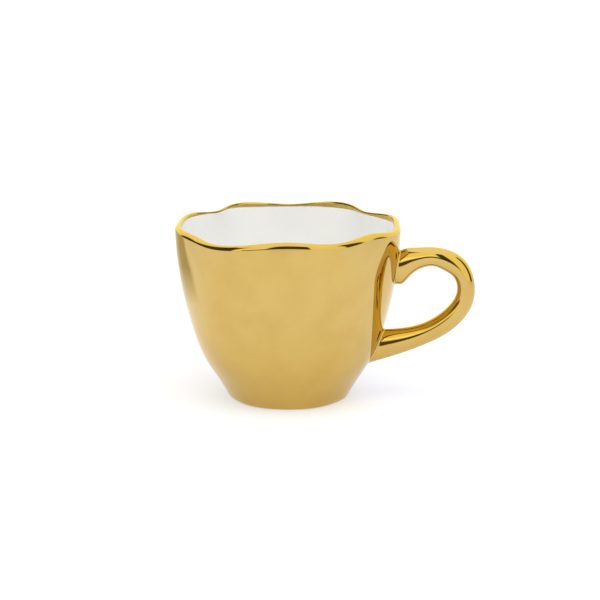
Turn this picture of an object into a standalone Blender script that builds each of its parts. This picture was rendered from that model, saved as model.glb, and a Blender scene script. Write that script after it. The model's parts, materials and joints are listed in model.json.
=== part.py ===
"""Gold-lustre porcelain teacup with a wavy rim and an ear-shaped handle.

The cup is built in layers, as it is made: a slip-cast porcelain body with its
own foot ring, a white glaze lining inside, a gold lustre coat outside and over
the lip, and a separately cast handle that two pads of slip join to the body.
Lengths below are millimetres, and every mesh is written in metres, with +Z up.
"""

import math

import bmesh
import bpy
import numpy as np

MM = 0.001

# Driving dimensions of the cup
HEIGHT = 79.0
WALL = 3.0
FLOOR_TOP = 5.0
RECESS_TOP = 1.5
FOOT_RING = 2.8
FOOT_ROUND = 3.5

# Outer wall from the table to the rim: height, mean radius
OUTER_WALL = (
    (0.0, 26.3),
    (5.0, 29.1),
    (11.0, 32.8),
    (17.0, 36.6),
    (24.0, 39.95),
    (34.0, 43.2),
    (46.0, 46.2),
    (58.0, 48.25),
    (69.0, 49.35),
    (79.0, 49.55),
)

# Waves of the rim, anticlockwise from the handle: degrees, outward, upward
RIM_WAVES = (
    (11.0, 0.3, 0.2),
    (31.0, 1.3, 0.4),
    (51.0, -2.1, -0.3),
    (60.0, -0.1, 0.7),
    (74.5, 1.3, 1.3),
    (96.5, -1.6, -0.1),
    (122.0, 1.3, 0.8),
    (134.5, 0.0, 0.6),
    (144.5, -1.9, -0.6),
    (160.0, 1.0, 0.2),
    (180.0, 0.7, 0.0),
    (199.0, 0.6, -0.8),
    (219.5, -1.4, -1.4),
    (243.5, 1.5, -1.8),
    (279.5, -1.8, 0.8),
    (304.5, 1.2, -0.1),
    (331.5, -2.0, 0.9),
    (351.5, 0.9, -0.5),
)
WAVE_AT_FOOT = 0.12
WAVE_POWER = 1.7
CURL_SHARE = 0.35
CURL_POWER = 9.0
LIFT_POWER = 4.0

# Heights of the rings of the outer and the inner wall
OUTER_HEIGHTS = (1.9, 5.0, 11.0, 17.0, 24.0, 34.0, 46.0, 58.0, 69.0, 74.0)
INNER_HEIGHTS = (74.0, 69.0, 58.0, 46.0, 34.0, 23.0)

# The foot: where bare porcelain stops and gold starts, as angles of its round, and its edges
BARE_ANGLE = 14.0
STEP_ANGLE = 16.0
GOLD_ANGLE = 22.0
RECESS_ROUND = 0.6
RING_EASE = 0.25

# The inner floor: radius of its corner, and shares round the corner where its rings lie
INNER_CORNER = 8.0
CORNER_SHARES = (1.0, 0.65, 0.35, 0.0)
FLOOR_CENTRE = 0.4 * OUTER_WALL[0][1]

# Layers of the wall, as depths under its outer surface
GAP = 0.3
COAT = 0.4
LINING = 0.4
CORE_OUT = COAT + GAP
CORE_IN = WALL - LINING - GAP
LIP_OUTSIDE = 2.3
LIP_INSIDE = WALL - LIP_OUTSIDE

# Depth of the gold band inside the lip: mean, least, change with the wave, and its tilt
GOLD_BAND = 1.3
GOLD_BAND_LEAST = 0.8
GOLD_BAND_SWING = 0.42
GOLD_BAND_TILT = 0.7
GOLD_BAND_LOW = 50.0

# Handle: outer edge x and z, inner edge x and z, width, narrowing of the inner edge
HANDLE_STATIONS = (
    (49.8, 68.2, 48.7, 53.2, 8.4, -0.15),
    (52.0, 69.2, 51.0, 53.3, 8.5, -0.15),
    (55.2, 69.8, 54.4, 56.6, 8.7, -0.12),
    (59.4, 70.1, 58.6, 60.1, 8.9, -0.08),
    (65.0, 70.3, 64.2, 61.8, 9.0, 0.0),
    (73.0, 68.7, 69.5, 60.2, 9.0, 0.0),
    (79.6, 63.9, 73.7, 57.4, 9.0, 0.0),
    (83.1, 55.4, 75.4, 52.9, 9.0, 0.0),
    (82.7, 46.1, 74.5, 48.2, 9.0, 0.0),
    (78.2, 37.9, 71.3, 43.7, 9.0, 0.0),
    (70.1, 30.8, 65.6, 38.8, 9.0, 0.0),
    (60.5, 25.7, 57.8, 34.9, 9.0, 0.12),
    (50.0, 21.3, 49.4, 33.0, 9.2, 0.25),
    (40.0, 17.8, 43.6, 32.4, 9.4, 0.32),
)
SECTION_POWER = 2.1
HANDLE_SIDES = 18
HANDLE_RINGS = 36
PAD_PROUD = 0.5
PAD_RIM = 0.4
PAD_RINGS = (0.0, 0.5, 1.0)
CUTTER_REACH = 0.5

AROUND = 64

GOLD = (0.83, 0.60, 0.22, 1.0)
WHITE = (0.86, 0.86, 0.84, 1.0)
BISQUE = (0.80, 0.78, 0.74, 1.0)
SLIP = (0.80, 0.57, 0.20, 1.0)


class Curve:
    """A smooth cubic curve y(x) through a few points, closed when it has a period."""

    def __init__(self, points, period=None):
        self.x = np.array([p[0] for p in points], float)
        self.y = np.array([p[1] for p in points], float)
        self.period = period
        if period:
            self.x = np.append(self.x, self.x[0] + period)
            self.y = np.append(self.y, self.y[0])
        self.slope = self.slopes()

    def slopes(self):
        """Slopes at the points that leave the curve's bend without a break."""
        count = len(self.x)
        step = np.diff(self.x)
        rise = np.diff(self.y) / step
        matrix = np.zeros((count, count))
        right = np.zeros(count)
        for i in range(1, count - 1):
            matrix[i, i - 1 : i + 2] = step[i], 2 * (step[i - 1] + step[i]), step[i - 1]
            right[i] = 3 * (step[i] * rise[i - 1] + step[i - 1] * rise[i])
        if self.period:
            matrix[0, 0], matrix[0, -1] = 1.0, -1.0
            matrix[-1, [0, 1]] = 2 * step[-1], step[-1]
            matrix[-1, [-2, -1]] = step[0], 2 * step[0]
            right[-1] = 3 * (step[0] * rise[-1] + step[-1] * rise[0])
        else:
            matrix[0, :2] = 2.0, 1.0
            matrix[-1, -2:] = 1.0, 2.0
            right[0], right[-1] = 3 * rise[0], 3 * rise[-1]
        return np.linalg.solve(matrix, right)

    def __call__(self, value):
        value = np.asarray(value, float)
        if self.period:
            value = (value - self.x[0]) % self.period + self.x[0]
        cell = np.clip(np.searchsorted(self.x, value, side="right") - 1, 0, len(self.x) - 2)
        width = self.x[cell + 1] - self.x[cell]
        t = (value - self.x[cell]) / width
        start = (1 + 2 * t) * (1 - t) ** 2 * self.y[cell] + t * (1 - t) ** 2 * width * self.slope[cell]
        end = t * t * (3 - 2 * t) * self.y[cell + 1] + t * t * (t - 1) * width * self.slope[cell + 1]
        return start + end


wall_radius = Curve(OUTER_WALL)
FOOT_SLOPE = float(wall_radius(2.0) - wall_radius(1.0))
FOOT_ANGLE = math.degrees(math.atan2(1.0, FOOT_SLOPE))
FOOT_TOP = FOOT_ROUND * (1 - math.cos(math.radians(FOOT_ANGLE)))
FOOT_OUTER = float(wall_radius(FOOT_TOP)) - FOOT_ROUND * math.sin(math.radians(FOOT_ANGLE))
FOOT_INNER = FOOT_OUTER - FOOT_RING
wave_out = Curve([(turn, out) for turn, out, up in RIM_WAVES], 360.0)
wave_up = Curve([(turn, up) for turn, out, up in RIM_WAVES], 360.0)


def wave_share(z):
    """How much of the rim's wave is left at this height: a long fade and a curl at the lip."""
    high = np.clip(z / HEIGHT, 0.0, 1.05)
    fade = WAVE_AT_FOOT + (1 - WAVE_AT_FOOT) * high**WAVE_POWER
    return (1 - CURL_SHARE) * fade + CURL_SHARE * high**CURL_POWER


def lift(z, turn):
    return wave_up(turn) * np.clip(z / HEIGHT, 0.0, 1.05) ** LIFT_POWER


def wall_point(turn, z, depth):
    """Radius and height of a point under the outer surface, along its normal."""
    z = np.broadcast_to(np.asarray(z, float), turn.shape)
    slope = wall_radius(z + 0.5) - wall_radius(z - 0.5)
    length = np.sqrt(1.0 + slope**2)
    radius = wall_radius(z) + wave_out(turn) * wave_share(z)
    return radius - depth / length, z + depth * slope / length + lift(z, turn)


def flat_point(turn, radius, z):
    """A point of the foot or the floor, which follow what is left of the wave."""
    share = WAVE_AT_FOOT * np.clip(radius / FOOT_OUTER, 0.0, 1.0)
    return radius + wave_out(turn) * share, np.full(turn.shape, float(z))


def foot_round(turn, depth, angle):
    """A point of the round between the standing face, angle 0, and the wall."""
    out = (FOOT_ROUND - depth) * math.sin(math.radians(angle))
    down = (FOOT_ROUND - depth) * math.cos(math.radians(angle))
    return flat_point(turn, FOOT_OUTER + out, FOOT_ROUND - down)


def glaze_line(turn):
    """Height of the line where the gold band of the lip meets the white lining."""
    tilt = GOLD_BAND_TILT * np.cos(np.radians(turn - GOLD_BAND_LOW))
    depth = GOLD_BAND + GOLD_BAND_SWING * wave_out(turn) + tilt
    return HEIGHT - np.maximum(depth, GOLD_BAND_LEAST)


def inner_corner(turn, depth, floor, share):
    """The round between the inner wall and the floor: share 0 on the wall, 1 on the floor."""
    top_r, top_z = wall_point(turn, floor + INNER_CORNER, depth)
    mid_r, _ = wall_point(turn, floor, depth)
    end_r = mid_r - INNER_CORNER
    a, b, c = (1 - share) ** 2, 2 * share * (1 - share), share**2
    return a * top_r + b * mid_r + c * end_r, a * top_z + (b + c) * floor


def lip(turn, depth, angle):
    """A point of the rounded lip, wide outside at angle 0 and tight inside at 180."""
    full = LIP_OUTSIDE if angle <= 90 else LIP_INSIDE
    radius = max(full - depth, 0.0)
    up = radius * math.sin(math.radians(angle))
    out = radius * math.cos(math.radians(angle))
    return wall_point(turn, HEIGHT - full + up, LIP_OUTSIDE - out)


def turned_solid(name, rings, top_pole=None, bottom_pole=None):
    """A closed body from rings of (radius, height), closed on itself or by two poles."""
    turn = np.arange(AROUND) * 360.0 / AROUND
    cos, sin = np.cos(np.radians(turn)), np.sin(np.radians(turn))
    mesh = bmesh.new()
    loops = []
    for ring in rings:
        radius, z = ring(turn)
        points = np.stack((radius * cos, radius * sin, z), axis=1) * MM
        loops.append([mesh.verts.new(point) for point in points])
    pairs = list(zip(loops, loops[1:]))
    if top_pole is None:
        pairs.append((loops[-1], loops[0]))
    for first, second in pairs:
        for i in range(AROUND):
            j = (i + 1) % AROUND
            mesh.faces.new((first[i], first[j], second[j], second[i]))
    if top_pole is not None:
        for pole, loop in ((top_pole, loops[-1]), (bottom_pole, loops[0])):
            centre = mesh.verts.new((0.0, 0.0, pole * MM))
            for i in range(AROUND):
                mesh.faces.new((loop[i], loop[(i + 1) % AROUND], centre))
    return finish_mesh(name, mesh)


def finish_mesh(name, mesh):
    bmesh.ops.recalc_face_normals(mesh, faces=mesh.faces)
    bmesh.ops.triangulate(mesh, faces=mesh.faces)
    data = bpy.data.meshes.new(name)
    mesh.to_mesh(data)
    mesh.free()
    data.shade_smooth()
    data.set_sharp_from_angle(angle=math.radians(40.0))
    piece = bpy.data.objects.new(name, data)
    bpy.context.scene.collection.objects.link(piece)
    return piece


def material(name, colour, roughness, metallic):
    made = bpy.data.materials.new(name)
    made.use_nodes = True
    shader = made.node_tree.nodes["Principled BSDF"]
    shader.inputs["Base Color"].default_value = colour
    shader.inputs["Roughness"].default_value = roughness
    shader.inputs["Metallic"].default_value = metallic
    made.diffuse_color = colour
    return made


def wall_rings(heights, depth):
    return [lambda turn, z=z: wall_point(turn, z, depth) for z in heights]


def lip_rings(depth, angles):
    return [lambda turn, a=a: lip(turn, depth, a) for a in angles]


def foot_rings(depth, angles):
    return [lambda turn, a=a: foot_round(turn, depth, a) for a in angles]


def corner_rings(depth, floor, shares):
    return [lambda turn, s=s: inner_corner(turn, depth, floor, s) for s in shares]


def flat_rings(points):
    return [lambda turn, p=p: flat_point(turn, *p) for p in points]


def make_body():
    """Porcelain wall, floor and foot ring in one casting."""
    core_floor = FLOOR_TOP - LINING - GAP
    rings = flat_rings([(FOOT_INNER / 2, RECESS_TOP), (FOOT_INNER - RECESS_ROUND, RECESS_TOP)])
    rings += flat_rings([(FOOT_INNER - RING_EASE, RING_EASE), (FOOT_INNER, 0.0), (FOOT_OUTER, 0.0)])
    rings += foot_rings(0.0, (BARE_ANGLE / 2, BARE_ANGLE))
    rings += foot_rings(CORE_OUT, (STEP_ANGLE, (STEP_ANGLE + FOOT_ANGLE) / 2))
    rings += wall_rings(OUTER_HEIGHTS, CORE_OUT)
    rings += lip_rings(CORE_OUT, (0, 45, 90))
    rings += wall_rings((HEIGHT - LIP_INSIDE, *INNER_HEIGHTS), CORE_IN)
    rings += corner_rings(CORE_IN, core_floor, CORNER_SHARES[::-1])
    rings += flat_rings([(FLOOR_CENTRE, core_floor)])
    return turned_solid("cup_body", rings, core_floor, RECESS_TOP)


def make_lining():
    """White glaze on the inner wall and floor, up to the gold band of the lip."""
    def top(depth):
        return lambda turn: wall_point(turn, glaze_line(turn) - GAP, depth)

    rings = flat_rings([(FLOOR_CENTRE, FLOOR_TOP - LINING)])
    rings += corner_rings(WALL - LINING, FLOOR_TOP - LINING, CORNER_SHARES)
    rings += wall_rings(INNER_HEIGHTS[::-1], WALL - LINING)
    rings += [top(WALL - LINING), top(WALL)]
    rings += wall_rings(INNER_HEIGHTS, WALL)
    rings += corner_rings(WALL, FLOOR_TOP, CORNER_SHARES[::-1])
    rings += flat_rings([(FLOOR_CENTRE, FLOOR_TOP)])
    return turned_solid("white_glaze_lining", rings, FLOOR_TOP, FLOOR_TOP - LINING)


def make_coat():
    """Gold lustre from the foot, up the outside and over the lip to the glaze line."""
    def end(depth):
        return lambda turn: wall_point(turn, glaze_line(turn), depth)

    foot_angles = (GOLD_ANGLE, (GOLD_ANGLE + FOOT_ANGLE) / 2)
    rings = foot_rings(0.0, foot_angles)
    rings += wall_rings(OUTER_HEIGHTS, 0.0)
    rings += lip_rings(0.0, (0, 30, 60, 90, 135, 180))
    rings += [end(WALL), end(WALL - COAT)]
    rings += lip_rings(COAT, (180, 90, 45, 0))
    rings += wall_rings(OUTER_HEIGHTS[::-1], COAT)
    rings += foot_rings(COAT, foot_angles[::-1])
    return turned_solid("gold_lustre_coat", rings)


def surface_x(y, z, stand_off):
    """x of the outer surface, moved out by stand_off, above the points (y, z)."""
    x = wall_radius(z)
    for _ in range(6):
        turn = np.degrees(np.arctan2(y, x))
        low = z - lift(z, turn)
        radius = wall_radius(low) + wave_out(turn) * wave_share(low) + stand_off
        x = np.sqrt(radius**2 - y**2)
    return x


def section(station, grow=0.0):
    """x, y and z of the rounded handle section at a station."""
    outer_x, outer_z, inner_x, inner_z, width, narrowing = station
    turn = np.arange(HANDLE_SIDES) * 2 * math.pi / HANDLE_SIDES
    power = 2.0 / SECTION_POWER
    along = np.sign(np.cos(turn)) * np.abs(np.cos(turn)) ** power
    across = np.sign(np.sin(turn)) * np.abs(np.sin(turn)) ** power
    half = math.hypot(outer_x - inner_x, outer_z - inner_z) / 2
    stretch = (half + grow) / half * along
    x = (outer_x + inner_x) / 2 + (outer_x - inner_x) / 2 * stretch
    z = (outer_z + inner_z) / 2 + (outer_z - inner_z) / 2 * stretch
    y = (width / 2 * (1 - narrowing * (1 - along) / 2) + grow) * across
    return x, y, z


def lofted_solid(name, rings, caps):
    """A closed body through rings of (x, y, z), with a point in the middle of each end."""
    mesh = bmesh.new()
    loops = [[mesh.verts.new((x * MM, y * MM, z * MM)) for x, y, z in zip(*ring)] for ring in rings]
    count = len(loops[0])
    for first, second in zip(loops, loops[1:]):
        for i in range(count):
            j = (i + 1) % count
            mesh.faces.new((first[i], first[j], second[j], second[i]))
    for cap, loop in zip(caps, (loops[0], loops[-1])):
        centre = mesh.verts.new([value * MM for value in cap])
        for i in range(count):
            mesh.faces.new((loop[i], loop[(i + 1) % count], centre))
    return finish_mesh(name, mesh)


def root_ring(station, stand_off, grow=0.0):
    """A handle section laid onto the curved wall, at a distance from it."""
    _, y, z = section(station, grow)
    return surface_x(y, z, stand_off), y, z


def root_centre(station, stand_off):
    z = (station[1] + station[3]) / 2
    return float(surface_x(0.0, z, stand_off)), 0.0, z


def make_handle():
    """One cast ear, from the flared upper root round to the lower root."""
    stations = np.array(HANDLE_STATIONS)
    middle = (stations[:, :2] + stations[:, 2:4]) / 2
    path = np.append(0.0, np.cumsum(np.linalg.norm(np.diff(middle, axis=0), axis=1)))
    curves = [Curve(list(zip(path, column))) for column in stations.T]
    places = np.linspace(0.0, path[-1], HANDLE_RINGS)
    stand_off = PAD_PROUD + GAP
    rings = [root_ring(HANDLE_STATIONS[0], stand_off)]
    rings += [section([float(curve(place)) for curve in curves]) for place in places[1:-1]]
    rings += [root_ring(HANDLE_STATIONS[-1], stand_off)]
    caps = [root_centre(HANDLE_STATIONS[end], stand_off) for end in (0, -1)]
    return lofted_solid("handle", rings, caps)


def make_pad(name, station, inner, outer, grow):
    """A thin pad on the wall with the outline of a handle root."""
    rings = [root_ring(station, inner + (outer - inner) * share, grow) for share in PAD_RINGS]
    caps = [root_centre(station, inner), root_centre(station, outer)]
    return lofted_solid(name, rings, caps)


def cut_window(coat, name, station):
    """Opens the coat round a pad, so that the pad reaches the porcelain."""
    cutter = make_pad(name, station, -COAT - CUTTER_REACH, PAD_PROUD + CUTTER_REACH, PAD_RIM + GAP)
    cutter.hide_render = True
    cutter.display_type = "WIRE"
    cut = coat.modifiers.new(name, "BOOLEAN")
    cut.operation = "DIFFERENCE"
    cut.solver = "EXACT"
    cut.object = cutter
    return cutter


def clear_scene():
    for item in list(bpy.data.objects):
        bpy.data.objects.remove(item, do_unlink=True)


def stand_on_origin(pieces, helpers):
    """Puts the bottom centre of the whole cup on the origin, through one parent empty."""
    corners = np.array([vert.co for piece in pieces for vert in piece.data.vertices])
    low, high = corners.min(axis=0), corners.max(axis=0)
    anchor = bpy.data.objects.new("teacup", None)
    anchor.location = (-(low[0] + high[0]) / 2, -(low[1] + high[1]) / 2, -low[2])
    bpy.context.scene.collection.objects.link(anchor)
    for piece in pieces + helpers:
        piece.parent = anchor


def main():
    clear_scene()
    body = make_body()
    lining = make_lining()
    coat = make_coat()
    handle = make_handle()
    upper, lower = HANDLE_STATIONS[0], HANDLE_STATIONS[-1]
    upper_pad = make_pad("upper_handle_slip", upper, -COAT, PAD_PROUD, PAD_RIM)
    lower_pad = make_pad("lower_handle_slip", lower, -COAT, PAD_PROUD, PAD_RIM)
    cutters = [cut_window(coat, "upper_window", upper), cut_window(coat, "lower_window", lower)]
    body.data.materials.append(material("bare_porcelain", BISQUE, 0.5, 0.0))
    lining.data.materials.append(material("white_glaze", WHITE, 0.15, 0.0))
    coat.data.materials.append(material("gold_lustre", GOLD, 0.12, 1.0))
    handle.data.materials.append(material("gold_lustre_handle", GOLD, 0.12, 1.0))
    upper_pad.data.materials.append(material("gilt_slip_upper", SLIP, 0.2, 1.0))
    lower_pad.data.materials.append(material("gilt_slip_lower", SLIP, 0.2, 1.0))
    stand_on_origin([body, lining, coat, handle, upper_pad, lower_pad], cutters)


main()
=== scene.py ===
"""Looks of the gold-lustre teacup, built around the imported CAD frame.

Shapes are in millimetres about the cup's own axis, as in the CAD model, and are moved
into the frame in metres. Angles are degrees, anticlockwise from the handle.
"""

import json
import math

import bpy
import numpy as np
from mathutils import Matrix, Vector


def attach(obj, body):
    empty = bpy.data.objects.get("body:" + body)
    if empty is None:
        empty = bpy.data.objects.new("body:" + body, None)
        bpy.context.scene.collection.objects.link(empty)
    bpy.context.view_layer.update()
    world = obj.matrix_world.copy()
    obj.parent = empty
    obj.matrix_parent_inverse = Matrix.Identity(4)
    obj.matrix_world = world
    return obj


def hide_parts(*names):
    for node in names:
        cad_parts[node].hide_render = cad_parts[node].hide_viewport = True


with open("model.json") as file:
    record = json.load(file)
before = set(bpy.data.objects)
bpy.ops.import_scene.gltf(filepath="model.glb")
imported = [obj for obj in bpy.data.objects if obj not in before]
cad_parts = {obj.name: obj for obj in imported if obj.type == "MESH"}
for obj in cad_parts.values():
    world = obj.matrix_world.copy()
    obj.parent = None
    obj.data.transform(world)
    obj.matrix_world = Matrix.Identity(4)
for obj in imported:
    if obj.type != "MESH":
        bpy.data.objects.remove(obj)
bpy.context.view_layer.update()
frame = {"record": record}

MM = 0.001

# ---------------------------------------------------------------- driving dimensions
HEIGHT = 79.0
WALL = 3.0
FLOOR_TOP = 5.0
RECESS_TOP = 1.5
FOOT_RING = 2.8
FOOT_ROUND = 3.5
# The outer wall: height and radius
OUTER_WALL = (
    (0.0, 26.3),
    (5.0, 29.1),
    (11.0, 32.8),
    (17.0, 36.6),
    (24.0, 39.95),
    (34.0, 43.2),
    (46.0, 46.2),
    (58.0, 48.25),
    (69.0, 49.35),
    (79.0, 49.55),
)
# The wavy rim: angle, and how far the rim swings out and up there
RIM_WAVES = (
    (11.0, 0.3, 0.2),
    (31.0, 1.3, 0.4),
    (51.0, -2.1, -0.3),
    (60.0, -0.1, 0.7),
    (74.5, 1.3, 1.3),
    (96.5, -1.6, -0.1),
    (122.0, 1.3, 0.8),
    (134.5, 0.0, 0.6),
    (144.5, -1.9, -0.6),
    (160.0, 1.0, 0.2),
    (180.0, 0.7, 0.0),
    (199.0, 0.6, -0.8),
    (219.5, -1.4, -1.4),
    (243.5, 1.5, -1.8),
    (279.5, -1.8, 0.8),
    (304.5, 1.2, -0.1),
    (331.5, -2.0, 0.9),
    (351.5, 0.9, -0.5),
)
# How the wave fades from the rim down to the foot
WAVE_AT_FOOT = 0.12
WAVE_POWER = 1.7
CURL_SHARE = 0.35
CURL_POWER = 9.0
LIFT_POWER = 4.0
# The radius of the lip's round on the outside and on the inside
LIP_OUTSIDE = 2.3
LIP_INSIDE = WALL - LIP_OUTSIDE
# The gold band inside the lip: its depth, the least and how it follows the rim, its tilt and
# the angle where it is deepest
GOLD_BAND = 1.3
GOLD_BAND_LEAST = 0.8
GOLD_BAND_SWING = 0.42
GOLD_BAND_TILT = 0.7
GOLD_BAND_LOW = 50.0
INNER_CORNER = 8.0
BARE_ANGLE = 14.0
# The ear from its upper root to its lower one: x and z of its outer line, x and z of its
# inner line, its width, and how much narrower its inner side is
HANDLE_STATIONS = (
    (49.8, 68.2, 48.7, 53.2, 8.4, -0.15),
    (52.0, 69.2, 51.0, 53.3, 8.5, -0.15),
    (55.2, 69.8, 54.4, 56.6, 8.7, -0.12),
    (59.4, 70.1, 58.6, 60.1, 8.9, -0.08),
    (65.0, 70.3, 64.2, 61.8, 9.0, 0.0),
    (73.0, 68.7, 69.5, 60.2, 9.0, 0.0),
    (79.6, 63.9, 73.7, 57.4, 9.0, 0.0),
    (83.1, 55.4, 75.4, 52.9, 9.0, 0.0),
    (82.7, 46.1, 74.5, 48.2, 9.0, 0.0),
    (78.2, 37.9, 71.3, 43.7, 9.0, 0.0),
    (70.1, 30.8, 65.6, 38.8, 9.0, 0.0),
    (60.5, 25.7, 57.8, 34.9, 9.0, 0.12),
    (50.0, 21.3, 49.4, 33.0, 9.2, 0.25),
    (40.0, 17.8, 43.6, 32.4, 9.4, 0.32),
)
SECTION_POWER = 2.1

# ---------------------------------------------------------------- fineness and fit
SHARP_ANGLE = 50.0
SLOPE_STEP = 0.5
# The share of the height above which the wave grows no more
HIGHEST_SHARE = 1.05
SURFACE_STEPS = 8
AROUND = 384
WALL_RINGS = 110
SKIN = 0.4
HAIR = 0.03
INSET = 0.06
# Where the gold starts on the foot's round, in degrees, a little above the bare porcelain
GOLD_START = 18.0
RECESS_ROUND = 0.9
# The foot ring's inner edge, slightly rounded: how far out, and height
FOOT_EDGE = ((0.0, 0.35), (0.1, 0.1), (0.35, 0.0))
# The first ring of a flat floor, and the last before its round, as shares of its radius
FLOOR_CENTRE = 0.04
FLOOR_EDGE = 0.9
FOOT_RINGS = 10
LIP_OUTER_RINGS = 19
LIP_INNER_RINGS = 12
CORE_RINGS = 40
FLOOR_RINGS = 10
LINING_RINGS = 90
HIDDEN_RINGS = 24
CORE_INSIDE_RINGS = 30
HANDLE_SIDES = 96
HANDLE_RINGS = 280
ROOT_RINGS = 12
ROOT_REACH = 6.0
ROOT_SAMPLES = 60
FILLET = 1.1
FILLET_RINGS = 14

# ---------------------------------------------------------------- colours, linear
GOLD_CLEAR = (0.615, 0.431, 0.138)
GOLD_WORN = (0.588, 0.401, 0.121)
# Painted shade near the foot, multiplied into the gold: it stands in for the shadowed floor and the
# gold's own bounce that the low wall mirrors
GOLD_PAINTED_SHADE = (0.96, 0.91, 0.74)
# Painted shade: the heights between which the darker, deeper gold near the foot fades out
PAINTED_SHADE_FULL = 4.0
PAINTED_SHADE_END = 42.0
GLAZE_WARM = (0.84, 0.835, 0.81)
GLAZE_COOL = (0.83, 0.835, 0.825)
GLAZE_SPECK = (0.62, 0.6, 0.55)
BISQUE_LIGHT = (0.82, 0.8, 0.76)
BISQUE_SHADE = (0.76, 0.73, 0.68)
BISQUE_SPECK = (0.45, 0.42, 0.38)
FLOOR_TONE = (0.47, 0.47, 0.47)
FLOOR_SHADE = (0.45, 0.45, 0.45)

# ---------------------------------------------------------------- textures
# Sizes of the clouds in colour and sheen
GOLD_CLOUD = 14.0
GOLD_SHEEN = 5.0
GLAZE_CLOUD = 18.0
GLAZE_SHEEN = 6.0
BISQUE_CLOUD = 9.0
BISQUE_SHEEN = 2.0
FLOOR_CLOUD = 400.0
# The noise values between which a cloud of worn gold fills in
GOLD_CLOUD_EDGE = (0.42, 0.68)
# The glaze and the bare porcelain: smoothest and roughest
GLAZE_ROUGHNESS = (0.1, 0.17)
BISQUE_ROUGHNESS = (0.5, 0.7)
# Specks: size, full strength, and the noise values between which one fills in
GLAZE_SPOT = (0.7, 0.35, 0.74, 0.8)
BISQUE_SPOT = (0.35, 0.7, 0.68, 0.76)
# The gold's finishes: smoothest, roughest, and how deep its slow waves are. Then the size of
# those waves and of its pin-marks, and how deep the pin-marks are as a share of the waves
BODY_FINISH = (0.03, 0.06, 0.011)
HANDLE_FINISH = (0.035, 0.07, 0.01)
SLIP_FINISH = (0.05, 0.09, 0.008)
GOLD_WAVE = 16.0
GOLD_PIN_MARK = 1.1
PIN_MARK_SHARE = 0.012
# The relief of the glaze and of the bare porcelain: size and depth
GLAZE_WAVE = (12.0, 0.05)
GLAZE_PEEL = (1.6, 0.0012)
BISQUE_WAVE = (3.0, 0.02)
BISQUE_GRAIN = (0.18, 0.006)
GLAZE_IOR = 1.52

# ---------------------------------------------------------------- view and studio
# The view's bearing and height in degrees, its distance in metres, and its middle in mm
VIEW_AZIMUTH = 9.5
VIEW_ELEVATION = 13.4
VIEW_DISTANCE = 1.0
VIEW_RIGHT = 5.2
VIEW_HEIGHT = 43.93
# The lens and the sensor in mm, and the nearest distance that is drawn in metres
VIEW_LENS = 134.2
SENSOR_WIDTH = 36.0
CLIP_START = 0.01
# The floor, its size in metres. It glows a little, so that the cup's shadow on it stays faint,
# and the glow is cooler to the right, between two bearings in degrees
FLOOR_SIZE = 40.0
FLOOR_ROUGHNESS = 0.9
FLOOR_SPECULAR = 0.1
FLOOR_GLOW = 0.555
GLOW_PLAIN = (1.0, 1.0, 1.0)
GLOW_COOL = (0.96, 0.99, 1.12)
COOL_START = 35.0
COOL_FULL = 95.0
# The tent as reflections show it: a warm wall, a paler top, and the heights between, in degrees
TENT_PLAIN = (1.0, 1.0, 1.0)
WALL_TINT = (1.35, 1.28, 0.62)
TOP_TINT = (1.35, 1.32, 1.15)
TOP_START = 45.0
TOP_FULL = 65.0
# Patches on it: bearing from the camera, half width, lowest, highest, softness, share, colour
GAP_TINT = (0.05, 0.03, 0.015)
WINDOW_TINT = (2.0, 1.9, 1.6)
PATCHES = (
    (-20.0, 11.0, -3.0, 12.0, 3.0, 0.95, GAP_TINT),
    (-22.0, 16.0, 19.0, 23.0, 2.0, 0.8, WINDOW_TINT),
    (-88.0, 38.0, 0.0, 62.0, 4.0, 0.97, GAP_TINT),
    (-3.0, 5.0, 0.0, 50.0, 3.0, 0.97, GAP_TINT),
    (88.0, 13.0, 0.0, 55.0, 4.0, 0.95, GAP_TINT),
)
# A low curved card on the left, seen only in reflections: bearings where it starts, is full,
# fades and ends, and its radius, foot, height where it is full and top, in metres
CARD_START = -107.0
CARD_FULL = -110.0
CARD_FADE = -122.0
CARD_END = -155.0
CARD_STEPS = 40
CARD_RADIUS = 0.14
CARD_FOOT = 0.001
CARD_RISE = 0.03
CARD_TOP = 0.085
CARD_COLOUR = (0.64, 0.58, 0.38)
# The softbox: bearing and height in degrees, distance and size in metres, and watts
LAMP_BEARING = 10.0
LAMP_HEIGHT = 70.0
LAMP_DISTANCE = 0.9
LAMP_SIZE = 0.7
LAMP_POWER = 3.6
LAMP_COLOUR = (1.0, 0.99, 0.965)


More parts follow.
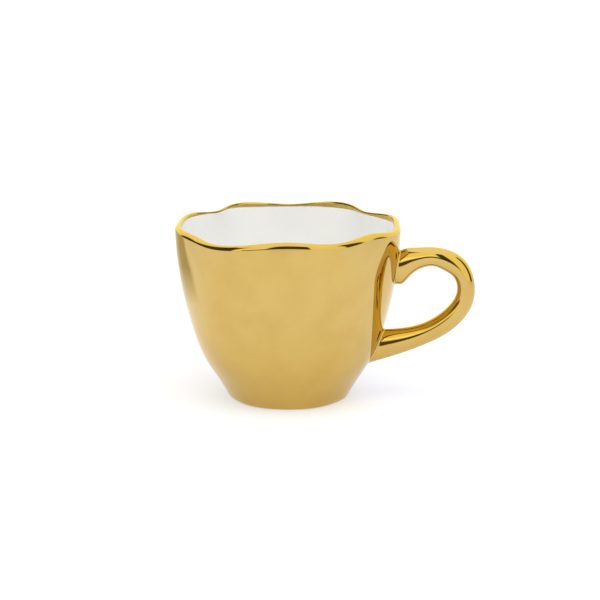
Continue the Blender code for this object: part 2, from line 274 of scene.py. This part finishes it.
class Curve:
    """A smooth cubic curve y(x) through a few points, which repeats when it has a period."""

    def __init__(self, points, period=None):
        self.x = np.array([p[0] for p in points], float)
        self.y = np.array([p[1] for p in points], float)
        self.period = period
        if period:
            self.x = np.append(self.x, self.x[0] + period)
            self.y = np.append(self.y, self.y[0])
        self.slope = self.slopes()

    def slopes(self):
        """The slope at each point that makes the curve's bend continuous."""
        count = len(self.x)
        step = np.diff(self.x)
        rise = np.diff(self.y) / step
        matrix = np.zeros((count, count))
        right = np.zeros(count)
        for i in range(1, count - 1):
            matrix[i, i - 1 : i + 2] = step[i], 2 * (step[i - 1] + step[i]), step[i - 1]
            right[i] = 3 * (step[i] * rise[i - 1] + step[i - 1] * rise[i])
        if self.period:
            matrix[0, 0], matrix[0, -1] = 1.0, -1.0
            matrix[-1, [0, 1]] = 2 * step[-1], step[-1]
            matrix[-1, [-2, -1]] = step[0], 2 * step[0]
            right[-1] = 3 * (step[0] * rise[-1] + step[-1] * rise[0])
        else:
            matrix[0, :2] = 2.0, 1.0
            matrix[-1, -2:] = 1.0, 2.0
            right[0], right[-1] = 3 * rise[0], 3 * rise[-1]
        return np.linalg.solve(matrix, right)

    def __call__(self, value):
        value = np.asarray(value, float)
        if self.period:
            value = (value - self.x[0]) % self.period + self.x[0]
        cell = np.clip(np.searchsorted(self.x, value, side="right") - 1, 0, len(self.x) - 2)
        width = self.x[cell + 1] - self.x[cell]
        t = (value - self.x[cell]) / width
        left = (1 - t) ** 2 * ((1 + 2 * t) * self.y[cell] + t * width * self.slope[cell])
        right = t**2 * ((3 - 2 * t) * self.y[cell + 1] + (t - 1) * width * self.slope[cell + 1])
        return left + right


wall_radius = Curve(OUTER_WALL)
wave_out = Curve([(turn, out) for turn, out, up in RIM_WAVES], 360.0)
wave_up = Curve([(turn, up) for turn, out, up in RIM_WAVES], 360.0)
# The foot's round ends where it is as steep as the wall
FOOT_SLOPE = float(wall_radius(2.0) - wall_radius(1.0))
FOOT_ANGLE = math.degrees(math.atan2(1.0, FOOT_SLOPE))
FOOT_TOP = FOOT_ROUND * (1 - math.cos(math.radians(FOOT_ANGLE)))
FOOT_OUTER = float(wall_radius(FOOT_TOP)) - FOOT_ROUND * math.sin(math.radians(FOOT_ANGLE))
FOOT_INNER = FOOT_OUTER - FOOT_RING
TURN = np.arange(AROUND) * 360.0 / AROUND

# The cup's axis, worked out from the record's mount half way across the foot ring's face
FOOT_MOUNT = frame["record"]["mounts"][0]["pos_m"]
AXIS = np.array([FOOT_MOUNT[0] / MM - (FOOT_OUTER + FOOT_INNER) / 2, FOOT_MOUNT[1] / MM, 0.0])


# ---------------------------------------------------------------- the cup's surface
def wave_share(z):
    """How much of the rim's wave is left at this height: a long fade and a curl at the lip."""
    high = np.clip(z / HEIGHT, 0.0, HIGHEST_SHARE)
    fade = WAVE_AT_FOOT + (1 - WAVE_AT_FOOT) * high**WAVE_POWER
    return (1 - CURL_SHARE) * fade + CURL_SHARE * high**CURL_POWER


def lift(z, turn):
    """How far the rim's wave lifts the wall at this height."""
    return wave_up(turn) * np.clip(z / HEIGHT, 0.0, HIGHEST_SHARE) ** LIFT_POWER


def wall_point(z, depth, turn=TURN):
    """Radius and height, at each turn, of a point this deep under the outer surface."""
    z = np.broadcast_to(np.asarray(z, float), turn.shape)
    slope = (wall_radius(z + SLOPE_STEP) - wall_radius(z - SLOPE_STEP)) / (2 * SLOPE_STEP)
    length = np.sqrt(1.0 + slope**2)
    radius = wall_radius(z) + wave_out(turn) * wave_share(z)
    return radius - depth / length, z + depth * slope / length + lift(z, turn)


def flat_point(radius, z, turn=TURN):
    """A point of the foot or the floor, which follow what is left of the wave."""
    share = WAVE_AT_FOOT * np.clip(radius / FOOT_OUTER, 0.0, 1.0)
    return radius + wave_out(turn) * share, np.full(turn.shape, float(z))


def foot_point(depth, angle):
    """A point of the round between the standing face, angle 0, and the wall."""
    out = (FOOT_ROUND - depth) * math.sin(math.radians(angle))
    down = (FOOT_ROUND - depth) * math.cos(math.radians(angle))
    return flat_point(FOOT_OUTER + out, FOOT_ROUND - down)


def lip_point(depth, angle):
    """A point of the rounded lip, wide outside at angle 0 and tight inside at 180."""
    full = LIP_OUTSIDE if angle <= 90 else LIP_INSIDE
    radius = max(full - depth, 0.0)
    up = radius * math.sin(math.radians(angle))
    out = radius * math.cos(math.radians(angle))
    return wall_point(HEIGHT - full + up, LIP_OUTSIDE - out)


def corner_point(depth, floor, share):
    """The round between the inner wall, share 0, and the floor, share 1."""
    top_r, top_z = wall_point(floor + INNER_CORNER, depth)
    mid_r, _ = wall_point(floor, depth)
    a, b, c = (1 - share) ** 2, 2 * share * (1 - share), share**2
    return a * top_r + b * mid_r + c * (mid_r - INNER_CORNER), a * top_z + (b + c) * floor


def glaze_line():
    """Height of the line where the gold band of the lip meets the white lining."""
    tilt = GOLD_BAND_TILT * np.cos(np.radians(TURN - GOLD_BAND_LOW))
    depth = GOLD_BAND + GOLD_BAND_SWING * wave_out(TURN) + tilt
    return HEIGHT - np.maximum(depth, GOLD_BAND_LEAST)


def surface_x(y, z, stand_off):
    """x of the outer surface, moved out by stand_off, above the points (y, z)."""
    x = wall_radius(z)
    for _ in range(SURFACE_STEPS):
        turn = np.degrees(np.arctan2(y, x))
        low = z - lift(z, turn)
        radius = wall_radius(low) + wave_out(turn) * wave_share(low) + stand_off
        x = np.sqrt(radius**2 - y**2)
    return x


# ---------------------------------------------------------------- mesh building
def make_piece(name, points, faces, material, node, slot_name):
    """A smooth mesh piece in the frame, standing for a CAD node."""
    data = bpy.data.meshes.new(name)
    data.from_pydata(((points + AXIS) * MM).tolist(), [], faces)
    data.validate()
    data.shade_smooth()
    data.set_sharp_from_angle(angle=math.radians(SHARP_ANGLE))
    data.materials.append(material)
    piece = bpy.data.objects.new(name, data)
    bpy.context.scene.collection.objects.link(piece)
    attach(piece, "root")
    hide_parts(node)
    return piece


def ring_faces(first, second, count):
    """The faces between two closed rings of points, from the numbers of their first points."""
    ends = [(i, (i + 1) % count) for i in range(count)]
    return [(first + i, first + j, second + j, second + i) for i, j in ends]


def turned(rings, poles=None):
    """Points and faces of a closed body of rings (radius, height), with poles at its two ends."""
    cos, sin = np.cos(np.radians(TURN)), np.sin(np.radians(TURN))
    points = [np.stack((radius * cos, radius * sin, z), axis=1) for radius, z in rings]
    faces = []
    for i in range(len(rings) - 1):
        faces += ring_faces(i * AROUND, (i + 1) * AROUND, AROUND)
    last = (len(rings) - 1) * AROUND
    if poles is None:
        faces += ring_faces(last, 0, AROUND)
        return np.concatenate(points), faces
    points.append(np.array([[0.0, 0.0, poles[0]], [0.0, 0.0, poles[1]]]))
    low, high = len(rings) * AROUND, len(rings) * AROUND + 1
    for i in range(AROUND):
        j = (i + 1) % AROUND
        faces.append((j, i, low))
        faces.append((last + i, last + j, high))
    return np.concatenate(points), faces


def lofted(rings, caps):
    """Points and faces of a closed body through rings of points, with a middle point at each end."""
    count = len(rings[0])
    points = np.concatenate(rings + [np.array(caps)])
    faces = []
    for i in range(len(rings) - 1):
        faces += ring_faces(i * count, (i + 1) * count, count)
    last = (len(rings) - 1) * count
    first_cap = len(rings) * count
    for i in range(count):
        j = (i + 1) % count
        faces.append((j, i, first_cap))
        faces.append((last + i, last + j, first_cap + 1))
    return points, [face[::-1] for face in faces]


# ---------------------------------------------------------------- the handle
STATIONS = np.array(HANDLE_STATIONS)
MIDDLES = (STATIONS[:, :2] + STATIONS[:, 2:4]) / 2
PATH = np.append(0.0, np.cumsum(np.linalg.norm(np.diff(MIDDLES, axis=0), axis=1)))
STATION_CURVES = [Curve(list(zip(PATH, column))) for column in STATIONS.T]
SIDE = np.arange(HANDLE_SIDES) * 2 * math.pi / HANDLE_SIDES
ALONG = np.sign(np.cos(SIDE)) * np.abs(np.cos(SIDE)) ** (2.0 / SECTION_POWER)
ACROSS = np.sign(np.sin(SIDE)) * np.abs(np.sin(SIDE)) ** (2.0 / SECTION_POWER)


def ear(place):
    """A ring of points round the ear, each of its lines taken at its own place along it."""
    place = np.broadcast_to(np.asarray(place, float), (HANDLE_SIDES,))
    outer_x, outer_z, inner_x, inner_z, width, narrowing = [curve(place) for curve in STATION_CURVES]
    x = (outer_x + inner_x) / 2 + (outer_x - inner_x) / 2 * ALONG
    z = (outer_z + inner_z) / 2 + (outer_z - inner_z) / 2 * ALONG
    y = width / 2 * (1 - narrowing * (1 - ALONG) / 2) * ACROSS
    return np.stack((x, y, z), axis=1)


class Root:
    """One end of the ear, where its lines run onto the cup's wall."""

    def __init__(self, from_end):
        self.from_end = from_end
        self.reach = np.linspace(-ROOT_REACH / 2, ROOT_REACH, ROOT_SAMPLES)
        rings = np.stack([ear(self.place(far)) for far in self.reach])
        self.off = rings[:, :, 0] - surface_x(rings[:, :, 1], rings[:, :, 2], 0.0)

    def place(self, far):
        """The place along the ear that is this far from its end."""
        return PATH[-1] - far if self.from_end else far

    def places(self, stand_off):
        """The place on each line that stands this far off the wall."""
        far = [np.interp(stand_off, self.off[:, i], self.reach) for i in range(HANDLE_SIDES)]
        return self.place(np.array(far))

    def ring(self, stand_off, flare=0.0):
        """The ring that stands this far off the wall, flared outwards along the wall."""
        points = ear(self.places(stand_off))
        edge = np.roll(points, -1, axis=0) - np.roll(points, 1, axis=0)
        out = np.stack((edge[:, 2], -edge[:, 1]), axis=1)
        out /= np.linalg.norm(out, axis=1)[:, None]
        middle = points[:, 1:].mean(axis=0)
        out *= np.sign(((points[:, 1:] - middle) * out).sum(axis=1))[:, None]
        y, z = (points[:, 1:] + flare * out).T
        return np.stack((surface_x(y, z, stand_off), y, z), axis=1)


def make_handle(material, roots):
    """The ear, from one slip joint to the other, a hair clear of both."""
    start, end = [root.places(FILLET - INSET + HAIR) for root in roots]
    near, far = ROOT_REACH, PATH[-1] - ROOT_REACH
    steps = np.linspace(0.0, 1.0, ROOT_RINGS, endpoint=False)
    places = [start * (1 - t) + near * t for t in steps]
    places += list(np.linspace(near, far, HANDLE_RINGS))
    places += [end * (1 - t) + far * t for t in steps[::-1]]
    rings = [ear(place) for place in places]
    points, faces = lofted(rings, [rings[0].mean(axis=0), rings[-1].mean(axis=0)])
    return make_piece("gilt_handle", points, faces, material, "handle", "gold_lustre_handle")


def make_fillet(name, material, root, node):
    """The slip at a root: a hollow-sided collar from the ear's own outline out onto the wall."""
    rings = []
    for i in range(FILLET_RINGS + 1):
        angle = math.pi / 2 * i / FILLET_RINGS
        stand_off = FILLET * (1 - math.sin(angle)) - INSET
        rings.append(root.ring(stand_off, FILLET * (1 - math.cos(angle))))
    if not root.from_end:
        rings = rings[::-1]
    points, faces = lofted(rings, [rings[0].mean(axis=0), rings[-1].mean(axis=0)])
    return make_piece(name, points, faces, material, node, "gilt_slip")


# ---------------------------------------------------------------- the cup's pieces
def make_coat(material):
    """The gold skin: up the outside, over the lip and down to the glaze line."""
    foot = np.linspace(GOLD_START, FOOT_ANGLE, FOOT_RINGS)
    wall = np.linspace(FOOT_TOP, HEIGHT - LIP_OUTSIDE, WALL_RINGS + 1)[1:-1]
    outer_lip = np.linspace(0.0, 90.0, LIP_OUTER_RINGS)
    inner_lip = np.linspace(90.0, 180.0, LIP_INNER_RINGS + 1)[1:]
    line = glaze_line()
    top = HEIGHT - LIP_INSIDE
    band = [top + (line - top) * share for share in (0.25, 0.5, 0.75, 1.0)]
    rings = [foot_point(0.0, angle) for angle in foot]
    rings += [wall_point(z, 0.0) for z in wall]
    rings += [lip_point(0.0, angle) for angle in np.append(outer_lip, inner_lip)]
    rings += [wall_point(z, WALL) for z in band]
    rings += [wall_point(line, WALL - SKIN)]
    # The skin's hidden side, with fewer rings
    rings += [lip_point(SKIN, angle) for angle in (180.0, 135.0, 90.0, 60.0, 30.0, 0.0)]
    rings += [wall_point(z, SKIN) for z in wall[::-5]]
    rings += [foot_point(SKIN, angle) for angle in foot[::-3]]
    return make_piece("gold_skin", *turned(rings), material, "gold_lustre_coat", "gold_lustre")


def inside_rings(depth, floor, top, count):
    """Rings from the middle of the floor, round the corner and up the inner wall."""
    edge = FOOT_INNER * FLOOR_EDGE
    shares = np.linspace(FLOOR_CENTRE, 1.0, count // 4)
    rings = [flat_point(edge * share, floor) for share in shares]
    rings += [corner_point(depth, floor, share) for share in np.linspace(1.0, 0.0, count // 3)]
    start = floor + INNER_CORNER
    shares = np.linspace(0.0, 1.0, count)[1:]
    rings += [wall_point(start + (top - start) * share, depth) for share in shares]
    return rings


def make_lining(material):
    """The white glaze of the inside, flush with the gold band above it."""
    line = glaze_line() - HAIR
    outside = inside_rings(WALL - SKIN, FLOOR_TOP - SKIN, line, HIDDEN_RINGS)
    inside = inside_rings(WALL, FLOOR_TOP, line, LINING_RINGS)
    points, faces = turned(outside + inside[::-1], (FLOOR_TOP - SKIN, FLOOR_TOP))
    return make_piece("white_lining", points, faces, material, "white_glaze_lining", "white_glaze")


def make_core(material):
    """The porcelain between the two skins, with its bare foot ring and hollow underside."""
    under = SKIN + HAIR
    spread = np.linspace(FLOOR_CENTRE, 1.0, FLOOR_RINGS) * (FOOT_INNER - RECESS_ROUND)
    rings = [flat_point(radius, RECESS_TOP) for radius in spread]
    for angle in np.radians(np.linspace(15.0, 90.0, 6)):
        out = RECESS_ROUND * (1 - math.sin(angle))
        down = RECESS_ROUND * (1 - math.cos(angle))
        rings.append(flat_point(FOOT_INNER - out, RECESS_TOP - down))
    rings += [flat_point(FOOT_INNER + out, z) for out, z in FOOT_EDGE]
    rings += [flat_point(FOOT_INNER + share * FOOT_RING, 0.0) for share in (0.35, 0.7, 1.0)]
    rings += [foot_point(0.0, angle) for angle in (BARE_ANGLE / 2, BARE_ANGLE)]
    rings += [foot_point(under, angle) for angle in np.linspace(BARE_ANGLE, FOOT_ANGLE, 5)]
    wall = np.linspace(FOOT_TOP, HEIGHT - LIP_OUTSIDE, CORE_RINGS)[1:-1]
    rings += [wall_point(z, under) for z in wall]
    rings += [lip_point(under, angle) for angle in (0.0, 30.0, 60.0, 90.0)]
    top = HEIGHT - LIP_INSIDE
    inside = inside_rings(WALL - under, FLOOR_TOP - under, top, CORE_INSIDE_RINGS)
    points, faces = turned(rings + inside[::-1], (RECESS_TOP, FLOOR_TOP - under))
    return make_piece("porcelain_core", points, faces, material, "cup_body", "bare_porcelain")


# ---------------------------------------------------------------- materials
def new_material(name):
    """A material with its node tree and its shader."""
    made = bpy.data.materials.new(name)
    made.use_nodes = True
    return made, made.node_tree, made.node_tree.nodes["Principled BSDF"]


def node(tree, kind, inputs=None, **settings):
    """A shader node, whose inputs are values or other nodes' outputs."""
    made = tree.nodes.new(kind)
    for name, value in settings.items():
        setattr(made, name, value)
    for name, value in (inputs or {}).items():
        if isinstance(value, bpy.types.NodeSocket):
            tree.links.new(value, made.inputs[name])
        else:
            made.inputs[name].default_value = value
    return made


def noise(tree, feature, detail=2.0):
    """Noise with features of about this many millimetres."""
    place = node(tree, "ShaderNodeTexCoord").outputs["Object"]
    inputs = {"Vector": place, "Scale": 1.0 / (feature * MM), "Detail": detail}
    return node(tree, "ShaderNodeTexNoise", inputs).outputs["Fac"]


def spread_over(tree, value, low, high, start=0.3, end=0.7):
    """A value carried from the range start to end, by default a noise's, onto low to high."""
    inputs = {"Value": value, "From Min": start, "From Max": end, "To Min": low, "To Max": high}
    return node(tree, "ShaderNodeMapRange", inputs).outputs["Result"]


def blend_colours(tree, share, first, second, blend_type="MIX"):
    """The first colour, with this share of the second mixed or multiplied in."""
    made = node(tree, "ShaderNodeMix", {"Factor": share}, data_type="RGBA", blend_type=blend_type)
    for socket, colour in zip((made.inputs[6], made.inputs[7]), (first, second)):
        if isinstance(colour, bpy.types.NodeSocket):
            tree.links.new(colour, socket)
        else:
            socket.default_value = (*colour, 1.0)
    return made.outputs[2]


def bumps(tree, layers):
    """Stacked bumps, each from a height 0 to 1 and its depth in millimetres."""
    normal = None
    for height, depth in layers:
        inputs = {"Height": height, "Distance": depth * MM, "Strength": 1.0}
        if normal:
            inputs["Normal"] = normal
        normal = node(tree, "ShaderNodeBump", inputs).outputs["Normal"]
    return normal


def relief(tree, size_and_depth, detail):
    """A layer for bumps: noise of this size, this deep."""
    size, depth = size_and_depth
    return noise(tree, size, detail), depth


def specks_of(tree, spot, detail):
    """How much of a speck there is at each place."""
    size, strength, start, end = spot
    return spread_over(tree, noise(tree, size, detail), 0.0, strength, start, end)


def height_of(tree):
    """Height above the cup's foot, in metres."""
    place = node(tree, "ShaderNodeTexCoord").outputs["Object"]
    return node(tree, "ShaderNodeSeparateXYZ", {"Vector": place}).outputs["Z"]


def gold_material(name, finish):
    """Fired gold lustre with browner clouds and fine pin-marks, and painted shade that makes it
    darker and deeper near the foot.
    """
    made, tree, shader = new_material(name)
    smoothest, roughest, wave = finish
    clouds = spread_over(tree, noise(tree, GOLD_CLOUD, 3.0), 0.0, 1.0, *GOLD_CLOUD_EDGE)
    gold = blend_colours(tree, clouds, GOLD_CLEAR, GOLD_WORN)
    # Painted shade: the gold is darker and deeper near the foot, for the shadowed floor that the low
    # wall mirrors
    painted_shade = spread_over(tree, height_of(tree), 1.0, 0.0, PAINTED_SHADE_FULL * MM, PAINTED_SHADE_END * MM)
    gold = blend_colours(tree, painted_shade, gold, GOLD_PAINTED_SHADE, "MULTIPLY")
    tree.links.new(gold, shader.inputs["Base Color"])
    shader.inputs["Metallic"].default_value = 1.0
    sheen = spread_over(tree, noise(tree, GOLD_SHEEN, 4.0), smoothest, roughest)
    tree.links.new(sheen, shader.inputs["Roughness"])
    slow_waves = (noise(tree, GOLD_WAVE, 0.0), wave)
    pin_marks = (noise(tree, GOLD_PIN_MARK, 1.0), wave * PIN_MARK_SHARE)
    tree.links.new(bumps(tree, (slow_waves, pin_marks)), shader.inputs["Normal"])
    return made


def glaze_material():
    """Glossy white glaze: faint warm and cool clouds and a very shallow orange peel."""
    made, tree, shader = new_material("white_glaze_fired")
    clouds = spread_over(tree, noise(tree, GLAZE_CLOUD, 3.0), 0.0, 1.0)
    colour = blend_colours(tree, clouds, GLAZE_WARM, GLAZE_COOL)
    specks = specks_of(tree, GLAZE_SPOT, 1.0)
    tree.links.new(blend_colours(tree, specks, colour, GLAZE_SPECK), shader.inputs["Base Color"])
    shader.inputs["IOR"].default_value = GLAZE_IOR
    sheen = spread_over(tree, noise(tree, GLAZE_SHEEN, 3.0), *GLAZE_ROUGHNESS)
    tree.links.new(sheen, shader.inputs["Roughness"])
    layers = (relief(tree, GLAZE_WAVE, 1.0), relief(tree, GLAZE_PEEL, 1.0))
    tree.links.new(bumps(tree, layers), shader.inputs["Normal"])
    return made


def porcelain_material():
    """Bare fired porcelain: fine grain, faint clouds and sparse grey specks."""
    made, tree, shader = new_material("bare_porcelain_fired")
    clouds = spread_over(tree, noise(tree, BISQUE_CLOUD, 4.0), 0.0, 1.0)
    colour = blend_colours(tree, clouds, BISQUE_LIGHT, BISQUE_SHADE)
    specks = specks_of(tree, BISQUE_SPOT, 2.0)
    tree.links.new(blend_colours(tree, specks, colour, BISQUE_SPECK), shader.inputs["Base Color"])
    sheen = spread_over(tree, noise(tree, BISQUE_SHEEN, 3.0), *BISQUE_ROUGHNESS)
    tree.links.new(sheen, shader.inputs["Roughness"])
    layers = (relief(tree, BISQUE_WAVE, 2.0), relief(tree, BISQUE_GRAIN, 2.0))
    tree.links.new(bumps(tree, layers), shader.inputs["Normal"])
    return made


# ---------------------------------------------------------------- studio
def maths(tree, operation, *values):
    """The result of one operation on values or other nodes' outputs."""
    made = node(tree, "ShaderNodeMath", dict(enumerate(values)), operation=operation)
    return made.outputs[0]


def smooth_gate(tree, value, middle, half, soft):
    """1 within half of the middle, falling smoothly to 0 over the soft distance."""
    away = maths(tree, "ABSOLUTE", maths(tree, "SUBTRACT", value, middle))
    inputs = {"Value": away, "From Min": half, "From Max": half + soft, "To Min": 1.0, "To Max": 0.0}
    made = node(tree, "ShaderNodeMapRange", inputs, interpolation_type="SMOOTHSTEP")
    return made.outputs["Result"]


def bearing_of(tree, way):
    """Bearing of a direction from the camera's side, in degrees to the right, and its z."""
    inputs = {"Vector": way, "Angle": -math.radians(VIEW_AZIMUTH)}
    turned_way = node(tree, "ShaderNodeVectorRotate", inputs, rotation_type="Z_AXIS").outputs[0]
    x, y, z = node(tree, "ShaderNodeSeparateXYZ", {"Vector": turned_way}).outputs
    angle = maths(tree, "ARCTAN2", x, maths(tree, "MULTIPLY", y, -1.0))
    return maths(tree, "DEGREES", angle), z


def direction(bearing, height):
    """The way out from the cup at a bearing from the camera's side and a height, in degrees."""
    a, e = math.radians(VIEW_AZIMUTH + bearing), math.radians(height)
    return Vector((math.sin(a) * math.cos(e), -math.cos(a) * math.cos(e), math.sin(e)))


def placed(name, data, location, way):
    """An object that looks back along a way, as cameras and lamps do."""
    made = bpy.data.objects.new(name, data)
    made.location = location
    made.rotation_mode = "QUATERNION"
    made.rotation_quaternion = way.to_track_quat("Z", "Y")
    bpy.context.scene.collection.objects.link(made)
    return made


def staged_sheet(name, points, faces, material):
    """A sheet of the studio, which is no part of the cup."""
    data = bpy.data.meshes.new(name)
    data.from_pydata(points, [], faces)
    data.materials.append(material)
    sheet = bpy.data.objects.new(name, data)
    bpy.context.scene.collection.objects.link(sheet)
    return sheet


def make_floor():
    """A wide pale floor with a faint tone, level with the cup's foot."""
    made, tree, shader = new_material("pale_floor")
    tone = spread_over(tree, noise(tree, FLOOR_CLOUD), 0.0, 1.0)
    tree.links.new(blend_colours(tree, tone, FLOOR_TONE, FLOOR_SHADE), shader.inputs["Base Color"])
    shader.inputs["Roughness"].default_value = FLOOR_ROUGHNESS
    shader.inputs["Specular IOR Level"].default_value = FLOOR_SPECULAR
    bearing, _ = bearing_of(tree, node(tree, "ShaderNodeTexCoord").outputs["Object"])
    share = spread_over(tree, bearing, 0.0, 1.0, COOL_START, COOL_FULL)
    glow = blend_colours(tree, share, GLOW_PLAIN, GLOW_COOL)
    tree.links.new(glow, shader.inputs["Emission Color"])
    shader.inputs["Emission Strength"].default_value = FLOOR_GLOW
    half = FLOOR_SIZE / 2
    corners = [(-half, -half, 0.0), (half, -half, 0.0), (half, half, 0.0), (-half, half, 0.0)]
    staged_sheet("floor", corners, [(0, 1, 2, 3)], made)


def card_material():
    """A glowing paper that fades out at the card's two ends and at its foot."""
    made = bpy.data.materials.new("left_card_paper")
    made.use_nodes = True
    tree = made.node_tree
    tree.nodes.remove(tree.nodes["Principled BSDF"])
    bearing, up = bearing_of(tree, node(tree, "ShaderNodeTexCoord").outputs["Object"])
    share = spread_over(tree, bearing, 0.0, 1.0, CARD_START, CARD_FULL)
    share = maths(tree, "MULTIPLY", share, spread_over(tree, up, 0.0, 1.0, 0.0, CARD_RISE))
    tail = spread_over(tree, bearing, 1.0, 0.0, CARD_FADE, CARD_END)
    share = maths(tree, "MULTIPLY", share, tail)
    clear = node(tree, "ShaderNodeBsdfTransparent").outputs["BSDF"]
    glow = node(tree, "ShaderNodeEmission", {"Color": (*CARD_COLOUR, 1.0)}).outputs["Emission"]
    mixed = node(tree, "ShaderNodeMixShader", {0: share, 1: clear, 2: glow}).outputs["Shader"]
    tree.links.new(mixed, tree.nodes["Material Output"].inputs["Surface"])
    return made


def make_card():
    """The low card on the left, which only the gold and the glaze mirror."""
    angles = np.radians(VIEW_AZIMUTH + np.linspace(CARD_START, CARD_END, CARD_STEPS))
    edge = list(zip(CARD_RADIUS * np.sin(angles), -CARD_RADIUS * np.cos(angles)))
    points = [(x, y, z) for z in (CARD_FOOT, CARD_TOP) for x, y in edge]
    faces = [(i, i + 1, CARD_STEPS + i + 1, CARD_STEPS + i) for i in range(CARD_STEPS - 1)]
    card = staged_sheet("left_card", points, faces, card_material())
    card.location = AXIS * MM
    card.visible_camera = False
    card.visible_diffuse = False
    card.visible_shadow = False


def make_world():
    """A plain white tent, which reflections show with a warm wall, a pale top and dark gaps."""
    world = bpy.data.worlds.new("tent")
    bpy.context.scene.world = world
    world.use_nodes = True
    tree = world.node_tree
    bearing, z = bearing_of(tree, node(tree, "ShaderNodeTexCoord").outputs["Generated"])
    height = maths(tree, "DEGREES", maths(tree, "ARCSINE", z))
    top = spread_over(tree, height, 0.0, 1.0, TOP_START, TOP_FULL)
    mirrored = blend_colours(tree, top, WALL_TINT, TOP_TINT)
    for middle, half, low, high, soft, full, tint in PATCHES:
        across = smooth_gate(tree, bearing, middle, half, soft)
        up = smooth_gate(tree, height, (low + high) / 2, (high - low) / 2, soft)
        share = maths(tree, "MULTIPLY", maths(tree, "MULTIPLY", across, up), full)
        mirrored = blend_colours(tree, share, mirrored, tint)
    mirror_ray = node(tree, "ShaderNodeLightPath").outputs["Is Glossy Ray"]
    light = blend_colours(tree, mirror_ray, TENT_PLAIN, mirrored)
    tree.links.new(light, tree.nodes["Background"].inputs["Color"])
    tree.nodes["Background"].inputs["Strength"].default_value = 1.0


def make_light():
    """A square softbox high in front of the cup, which reflections leave out."""
    data = bpy.data.lights.new("overhead_softbox", "AREA")
    data.shape = "SQUARE"
    data.size = LAMP_SIZE
    data.energy = LAMP_POWER
    data.color = LAMP_COLOUR
    way = direction(LAMP_BEARING, LAMP_HEIGHT)
    lamp = placed("overhead_softbox", data, way * LAMP_DISTANCE, way)
    lamp.visible_glossy = False


def make_camera():
    """The camera at the photograph's viewing angle."""
    back = direction(0.0, VIEW_ELEVATION)
    right = direction(90.0, 0.0)
    target = Vector(AXIS * MM) + right * VIEW_RIGHT * MM + Vector((0.0, 0.0, VIEW_HEIGHT * MM))
    data = bpy.data.cameras.new("camera")
    data.sensor_width = SENSOR_WIDTH
    data.lens = VIEW_LENS
    data.clip_start = CLIP_START
    camera = placed("camera", data, target + back * VIEW_DISTANCE, back)
    bpy.context.scene.camera = camera


# ---------------------------------------------------------------- the scene
slip_gold = gold_material("gilt_slip_fired", SLIP_FINISH)
upper_root, lower_root = Root(False), Root(True)
make_coat(gold_material("gold_lustre_fired", BODY_FINISH))
make_lining(glaze_material())
make_core(porcelain_material())
make_handle(gold_material("gold_lustre_handle_fired", HANDLE_FINISH), (upper_root, lower_root))
make_fillet("upper_slip_fillet", slip_gold, upper_root, "upper_handle_slip")
make_fillet("lower_slip_fillet", slip_gold, lower_root, "lower_handle_slip")
make_floor()
make_world()
make_card()
make_light()
make_camera()
bpy.context.scene.view_settings.view_transform = "Standard"
